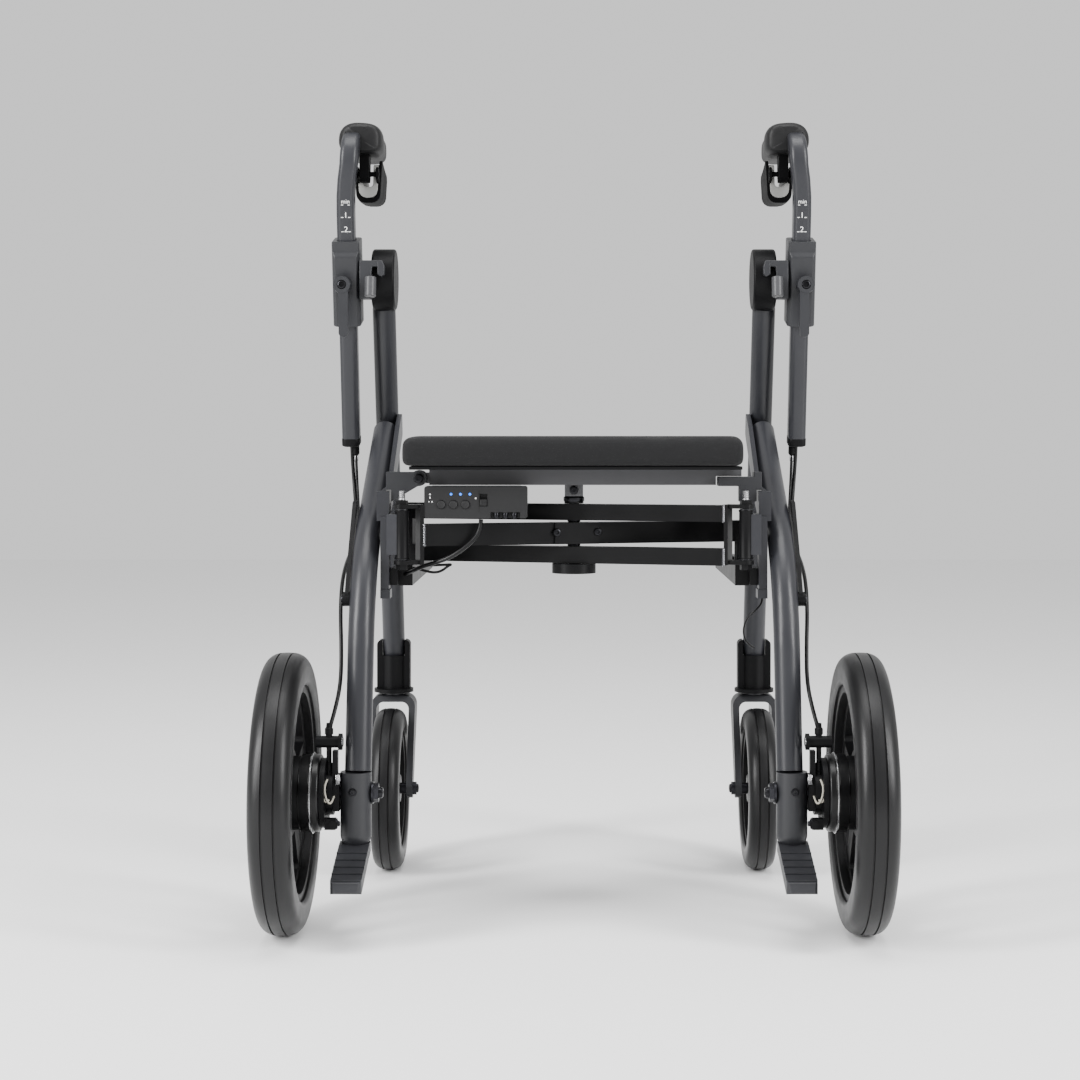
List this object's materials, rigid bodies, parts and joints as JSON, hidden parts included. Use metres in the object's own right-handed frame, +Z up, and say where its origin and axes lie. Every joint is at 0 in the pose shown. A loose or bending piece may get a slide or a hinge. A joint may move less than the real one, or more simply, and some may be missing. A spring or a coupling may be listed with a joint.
{
  "type": "rollator walker",
  "caption": "Folding rollator with powered rear wheels, swivel front casters, a fold-up padded seat, a crossed brace, and height-adjustable handles with brake levers.",
  "frame": {"origin": "on the floor, at the middle of the walker's box", "axes": "+X to the right and +Y forward for someone walking behind it, +Z up"},
  "size_m": [0.6736, 0.5996, 0.915],
  "materials": {
    "frame_paint": "satin graphite powder coat",
    "moulded_grey": "fine-grained moulded dark grey",
    "black_plastic": "fine-grained moulded black",
    "brace_black": "satin black powder coat",
    "wheel_plastic": "moulded black",
    "motor_metal": "gloss black with a bright ring",
    "dark_steel": "black oxide",
    "tyre_rubber": "satin solid rubber",
    "grip_rubber": "soft satin",
    "cable_jacket": "satin jacket",
    "seat_fabric": "woven black"
  },
  "bodies": {
    "left_side": {"left_front_tube": "frame_paint", "left_rear_leg": "frame_paint", "left_side_casting": "frame_paint", "left_slide_rail": "brace_black", "left_leg_socket": "moulded_grey", "left_rear_axle": "dark_steel", "left_brake_plate": "dark_steel", "left_caster_head": "black_plastic", "left_cable_arm": "black_plastic", "left_joint_disc": "moulded_grey", "left_handle_sleeve": "moulded_grey", "left_brake_cable": "cable_jacket", "left_seat_bracket": "moulded_grey", "control_cable": "cable_jacket"},
    "left_rear_wheel": {"left_rear_tyre": "tyre_rubber", "left_rear_rim": "wheel_plastic", "left_motor_hub": "motor_metal"},
    "left_fork": {"left_caster_fork": "moulded_grey", "left_front_axle": "dark_steel"},
    "left_front_wheel": {"left_front_tyre": "tyre_rubber", "left_front_rim": "wheel_plastic"},
    "left_handle": {"left_handle_tube": "frame_paint", "left_grip": "grip_rubber"},
    "left_brake_lever": {"left_brake_lever": "black_plastic"},
    "left_clamp_lever": {"left_clamp_lever": "moulded_grey"},
    "right_side": {"right_front_tube": "frame_paint", "right_rear_leg": "frame_paint", "right_side_casting": "frame_paint", "right_slide_rail": "brace_black", "right_leg_socket": "moulded_grey", "right_rear_axle": "dark_steel", "right_brake_plate": "dark_steel", "right_caster_head": "black_plastic", "right_cable_arm": "black_plastic", "right_joint_disc": "moulded_grey", "right_handle_sleeve": "moulded_grey", "right_brake_cable": "cable_jacket", "right_seat_bracket": "moulded_grey"},
    "right_rear_wheel": {"right_rear_tyre": "tyre_rubber", "right_rear_rim": "wheel_plastic", "right_motor_hub": "motor_metal"},
    "right_fork": {"right_caster_fork": "moulded_grey", "right_front_axle": "dark_steel"},
    "right_front_wheel": {"right_front_tyre": "tyre_rubber", "right_front_rim": "wheel_plastic"},
    "right_handle": {"right_handle_tube": "frame_paint", "right_grip": "grip_rubber"},
    "right_brake_lever": {"right_brake_lever": "black_plastic"},
    "right_clamp_lever": {"right_clamp_lever": "moulded_grey"},
    "single_arm": {"single_arm": "brace_black", "centre_post": "dark_steel"},
    "double_arm": {"double_arm": "brace_black"},
    "seat": {"seat_frame": "frame_paint", "seat_board": "black_plastic", "seat_pad": "seat_fabric", "control_box": "black_plastic"},
    "power_button_1": {"power_button_1": "black_plastic"},
    "power_button_2": {"power_button_2": "black_plastic"},
    "power_button_3": {"power_button_3": "black_plastic"},
    "slide_switch": {"slide_switch": "black_plastic"}
  },
  "joints": [
    {"name": "fold", "type": "hinge", "parent": "left_side", "child": "single_arm", "pos_m": [-0.192, -0.09725, 0.432], "axis": [0, 0, 1], "range_deg": [0, 50]},
    {"name": "double_arm_turn", "type": "hinge", "parent": "single_arm", "child": "double_arm", "pos_m": [0, -0.03925, 0.432], "axis": [0, 0, 1], "range_deg": [-100, 0]},
    {"name": "right_side_turn", "type": "hinge", "parent": "double_arm", "child": "right_side", "pos_m": [0.192, -0.09725, 0.432], "axis": [0, 0, 1], "range_deg": [0, 50]},
    {"name": "seat_lift", "type": "hinge", "parent": "left_side", "child": "seat", "pos_m": [-0.175, -0.05325, 0.495], "axis": [0, -1, 0], "range_deg": [0, 76]},
    {"name": "left_rear_wheel_spin", "type": "hinge", "parent": "left_side", "child": "left_rear_wheel", "pos_m": [-0.3143, -0.14725, 0.1525], "axis": [1, 0, 0], "continuous": true},
    {"name": "left_caster_swivel", "type": "hinge", "parent": "left_side", "child": "left_fork", "pos_m": [-0.231, 0.25275, 0.235], "axis": [0, 0, 1], "continuous": true},
    {"name": "left_front_wheel_spin", "type": "hinge", "parent": "left_fork", "child": "left_front_wheel", "pos_m": [-0.231, 0.19975, 0.1], "axis": [1, 0, 0], "continuous": true},
    {"name": "left_handle_height", "type": "slide", "parent": "left_side", "child": "left_handle", "axis": [0, -0.2267, 0.974], "range_m": [-0.035, 0.1]},
    {"name": "left_brake_squeeze", "type": "hinge", "parent": "left_handle", "child": "left_brake_lever", "pos_m": [-0.248, 0.07875, 0.857], "axis": [1, 0, 0], "range_deg": [-15, 8]},
    {"name": "left_clamp_turn", "type": "hinge", "parent": "left_side", "child": "left_clamp_lever", "pos_m": [-0.275, 0.05275, 0.722], "axis": [0, 1, 0], "range_deg": [0, 100]},
    {"name": "right_rear_wheel_spin", "type": "hinge", "parent": "right_side", "child": "right_rear_wheel", "pos_m": [0.3143, -0.14725, 0.1525], "axis": [1, 0, 0], "continuous": true},
    {"name": "right_caster_swivel", "type": "hinge", "parent": "right_side", "child": "right_fork", "pos_m": [0.231, 0.25275, 0.235], "axis": [0, 0, 1], "continuous": true},
    {"name": "right_front_wheel_spin", "type": "hinge", "parent": "right_fork", "child": "right_front_wheel", "pos_m": [0.231, 0.19975, 0.1], "axis": [1, 0, 0], "continuous": true},
    {"name": "right_handle_height", "type": "slide", "parent": "right_side", "child": "right_handle", "axis": [0, -0.2267, 0.974], "range_m": [-0.035, 0.1]},
    {"name": "right_brake_squeeze", "type": "hinge", "parent": "right_handle", "child": "right_brake_lever", "pos_m": [0.248, 0.07875, 0.857], "axis": [1, 0, 0], "range_deg": [-15, 8]},
    {"name": "right_clamp_turn", "type": "hinge", "parent": "right_side", "child": "right_clamp_lever", "pos_m": [0.275, 0.05275, 0.722], "axis": [0, -1, 0], "range_deg": [0, 100]},
    {"name": "button_1_press", "type": "slide", "parent": "seat", "child": "power_button_1", "axis": [0, 1, 0], "range_m": [0, 0.0012], "stiffness_N_per_m": 300},
    {"name": "button_2_press", "type": "slide", "parent": "seat", "child": "power_button_2", "axis": [0, 1, 0], "range_m": [0, 0.0012], "stiffness_N_per_m": 300},
    {"name": "button_3_press", "type": "slide", "parent": "seat", "child": "power_button_3", "axis": [0, 1, 0], "range_m": [0, 0.0012], "stiffness_N_per_m": 300},
    {"name": "switch_slide", "type": "slide", "parent": "seat", "child": "slide_switch", "axis": [0, 0, 1], "range_m": [0, 0.0055]}
  ],
  "couplings": [
    {"joint": "double_arm_turn", "follows": "fold", "ratio": -2},
    {"joint": "right_side_turn", "follows": "fold", "ratio": 1},
    {"joint": "seat_lift", "follows": "fold", "ratio": 1.52}
  ]
}
